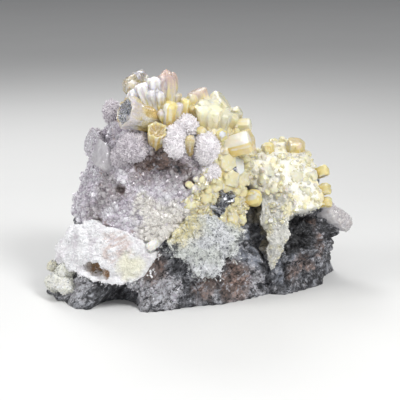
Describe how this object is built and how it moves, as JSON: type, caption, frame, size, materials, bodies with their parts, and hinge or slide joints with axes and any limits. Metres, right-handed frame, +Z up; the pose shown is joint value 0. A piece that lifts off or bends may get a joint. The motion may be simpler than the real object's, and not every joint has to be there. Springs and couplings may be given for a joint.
{
  "type": "mimetite specimen",
  "caption": "Mineral specimen: yellow hexagonal mimetite prisms with lilac-grey quartz druse and pale crusts on dark rusty matrix rock.",
  "frame": {"origin": "point on the flat underside of the matrix, near the middle of its footprint", "axes": "+Z up, +X to the right seen from the crystal side, -Y towards the crystal side's viewer"},
  "size_m": [0.0632, 0.0374, 0.0455],
  "materials": {
    "matrix": "rough dark broken rock with rusty and grey patches",
    "mimetite": "resinous honey-yellow crystal, paler at the tips",
    "mimetite_pale": "resinous cream to lilac-tipped crystal",
    "mimetite_olive": "resinous olive-yellow crystal",
    "galena": "lead-grey metallic cleavage faces",
    "quartz": "sparkling lilac-grey crystal druse",
    "shell_quartz": "smooth glassy plate",
    "chalk_crust": "chalky white crust",
    "granular_crust": "granular white to grey-green crust",
    "cream_crust": "cream-white crust"
  },
  "bodies": {
    "root": {"matrix_rock": "matrix", "mimetite_big_prism": "mimetite", "mimetite_flat_top_prism": "mimetite", "mimetite_small_prism": "mimetite", "mimetite_barrel": "mimetite", "mimetite_spray": "mimetite", "mimetite_clear_knob": "mimetite", "mimetite_crest_bits": "mimetite", "mimetite_ridge_crest": "mimetite", "mimetite_ridge_front": "mimetite", "mimetite_ridge_spur": "mimetite", "mimetite_ridge_face": "mimetite", "mimetite_ridge_shoulder": "mimetite", "mimetite_ridge_knee": "mimetite", "mimetite_ridge_heel": "mimetite", "mimetite_ridge_toe": "mimetite", "mimetite_nodule_1": "mimetite", "mimetite_nodule_2": "mimetite", "mimetite_nodule_3": "mimetite", "mimetite_nodule_4": "mimetite", "mimetite_nodule_5": "mimetite", "mimetite_nodule_6": "mimetite", "mimetite_nodule_7": "mimetite", "mimetite_chipped_prism": "mimetite_pale", "mimetite_hollow_prism": "mimetite_pale", "mimetite_twin_knobs": "mimetite_pale", "mimetite_foot_knob": "mimetite_pale", "mimetite_lobe_01": "mimetite_pale", "mimetite_lobe_02": "mimetite_pale", "mimetite_lobe_03": "mimetite_pale", "mimetite_lobe_04": "mimetite_pale", "mimetite_lobe_05": "mimetite_pale", "mimetite_lobe_06": "mimetite_pale", "mimetite_lobe_07": "mimetite_pale", "mimetite_lobe_08": "mimetite_pale", "mimetite_lobe_09": "mimetite_pale", "mimetite_lobe_10": "mimetite_pale", "mimetite_lobe_11": "mimetite_pale", "mimetite_lobe_12": "mimetite_pale", "mimetite_lobe_13": "mimetite_pale", "mimetite_lobe_14": "mimetite_pale", "mimetite_lobe_15": "mimetite_pale", "mimetite_lobe_16": "mimetite_pale", "mimetite_olive_prism": "mimetite_olive", "galena_upper": "galena", "galena_lower": "galena", "quartz_ball_left": "quartz", "quartz_ball_middle": "quartz", "quartz_ball_right": "quartz", "quartz_knob_back_upper": "quartz", "quartz_knob_back_lower": "quartz", "quartz_druse": "quartz", "quartz_corner": "quartz", "shell_plate": "shell_quartz", "white_crust": "chalk_crust", "granular_crust": "granular_crust", "cream_crust": "cream_crust", "cream_nodules": "cream_crust", "mimetite_ridge_crust": "mimetite"}
  },
  "joints": []
}
